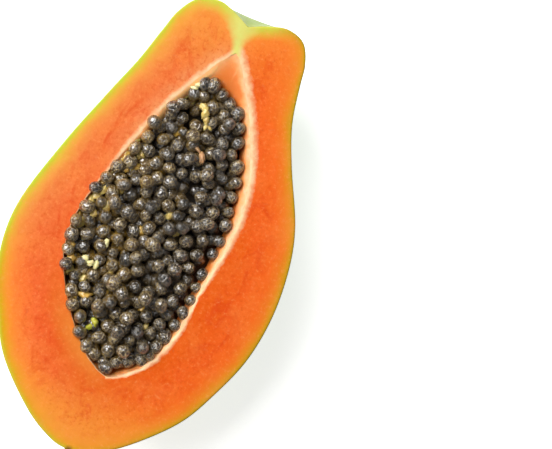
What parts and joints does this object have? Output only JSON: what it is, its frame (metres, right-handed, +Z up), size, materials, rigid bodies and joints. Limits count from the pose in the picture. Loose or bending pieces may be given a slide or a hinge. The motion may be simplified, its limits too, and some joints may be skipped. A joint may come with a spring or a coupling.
{
  "type": "papaya half",
  "caption": "Half of a ripe papaya, cut lengthwise and lying on its skin, with orange flesh and a leaf-shaped cavity full of dark round seeds.",
  "frame": {"origin": "on the resting surface, under the middle of the half fruit's box", "axes": "+X across the cut face, +Y along the fruit towards the stem end, +Z up, out of the cut face"},
  "size_m": [0.1196, 0.2016, 0.0599],
  "materials": {
    "flesh": "moist, satin, orange flesh under a thin waxy yellow-green skin",
    "seeds": "wet gloss, dark seeds in clear grey-olive jelly"
  },
  "bodies": {
    "root": {"half_fruit": "flesh", "seeds": "seeds"}
  },
  "joints": []
}
